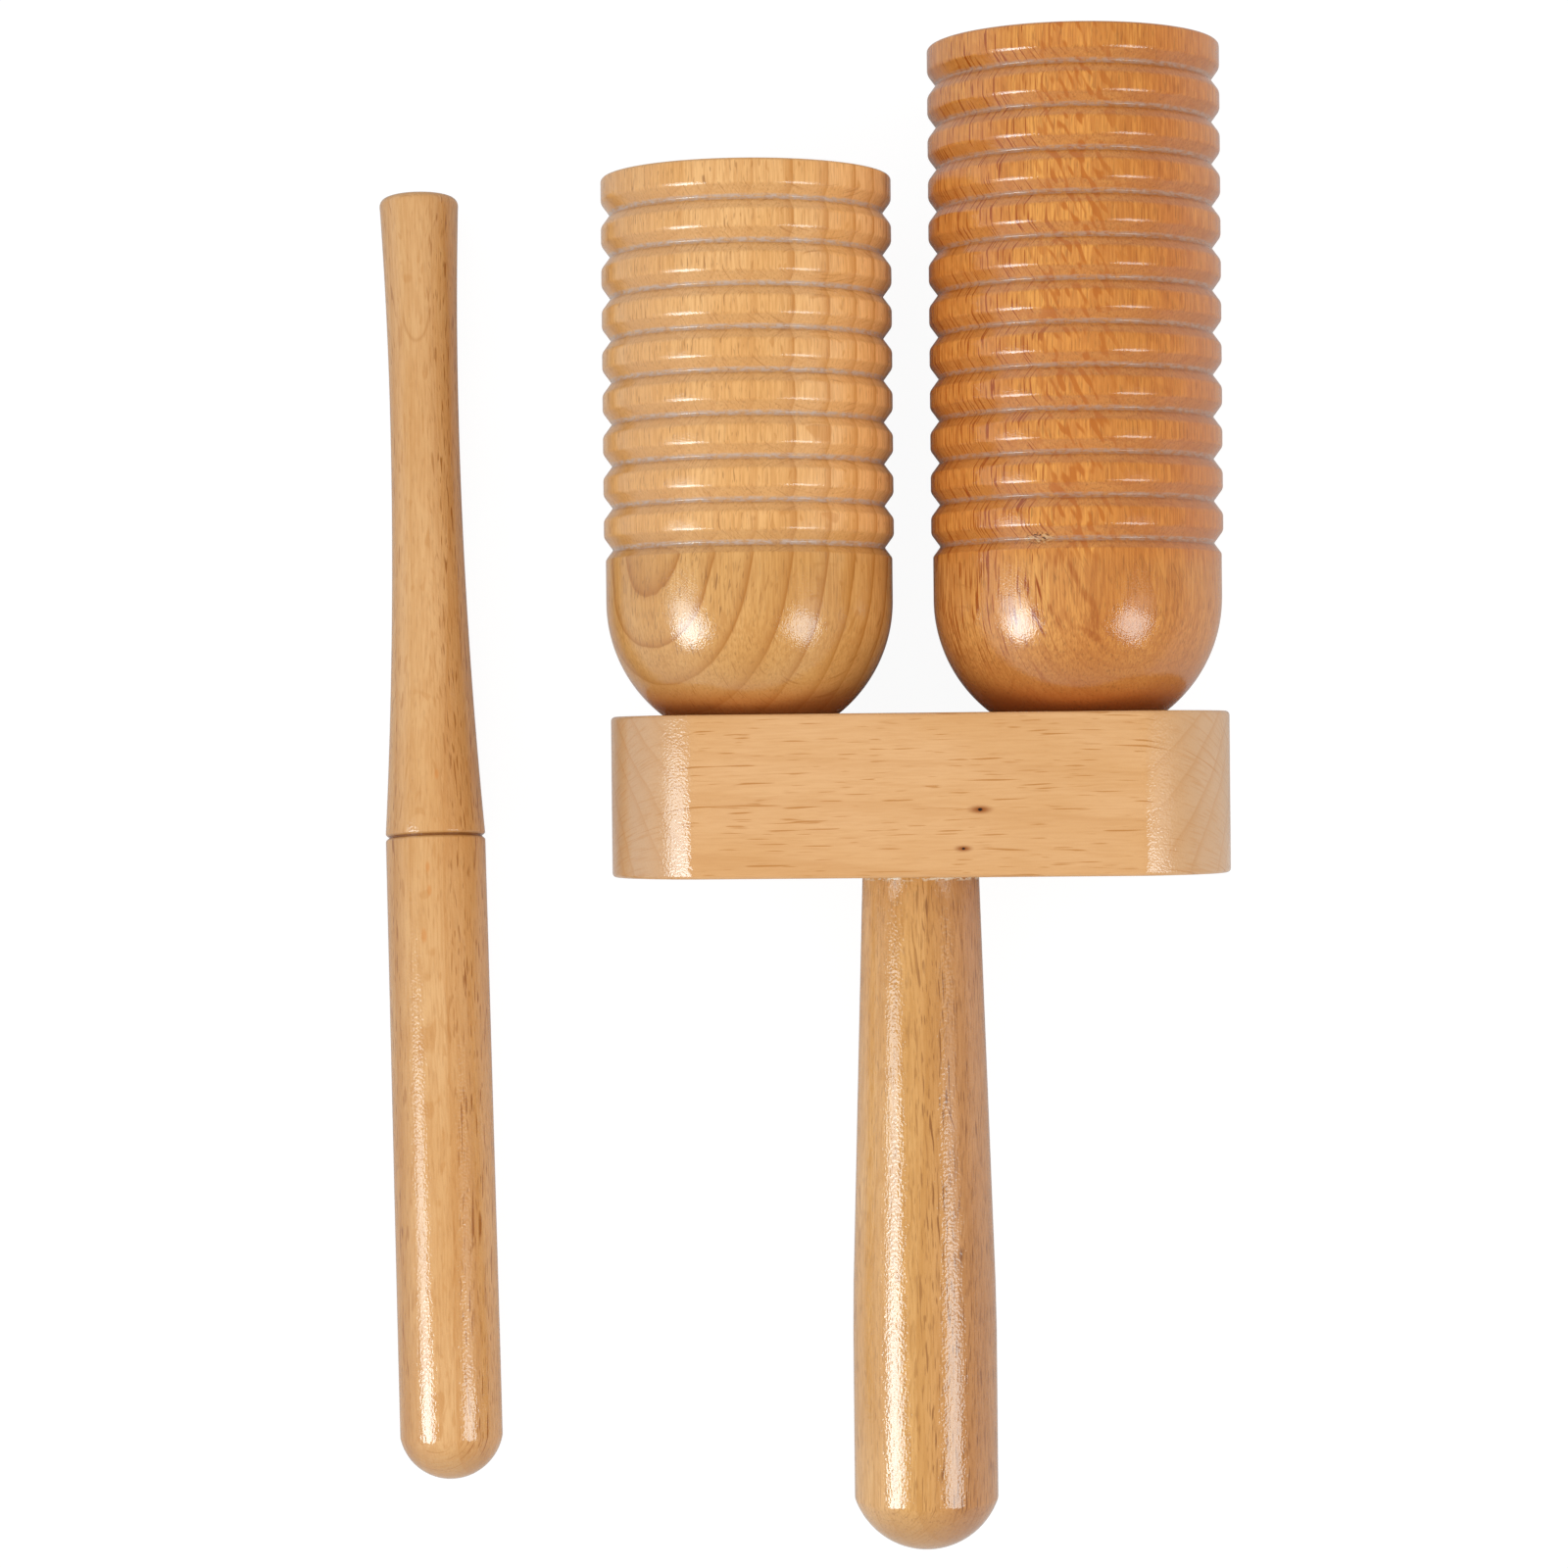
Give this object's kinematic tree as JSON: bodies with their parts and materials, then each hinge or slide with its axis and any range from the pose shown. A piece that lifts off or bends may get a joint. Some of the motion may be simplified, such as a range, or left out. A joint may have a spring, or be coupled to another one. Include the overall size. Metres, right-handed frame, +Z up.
{
  "type": "two-tone wood block",
  "caption": "Hand-held wooden percussion block: ribbed hollow tubes of unlike length on a crossbar with a turned handle, and a loose turned beater that strikes or scrapes them.",
  "frame": {"origin": "on the table, under the middle of the box round the whole set as it lies", "axes": "+Y along the block from the handle's end to the tubes' mouths, +Z up from the table, +X from the beater to the block"},
  "size_m": [0.1419, 0.2466, 0.0544],
  "materials": {
    "high_tube_wood": "clear satin lacquer on light beech",
    "low_tube_wood": "clear satin lacquer on reddish beech",
    "bar_wood": "clear satin lacquer on pale beech",
    "handle_wood": "clear satin lacquer on yellow-tan beech",
    "beater_wood": "clear satin lacquer on beech",
    "screw_steel": "bright zinc"
  },
  "bodies": {
    "block": {"crossbar": "bar_wood", "handle": "handle_wood", "high_tube": "high_tube_wood", "low_tube": "low_tube_wood", "high_tube_screw": "screw_steel", "low_tube_screw": "screw_steel"},
    "beater": {"beater": "beater_wood"}
  },
  "joints": [
    {"name": "beater_lift", "type": "slide", "parent": "block", "child": "beater", "axis": [0, 0, 1], "range_m": [0, 0.12]}
  ]
}
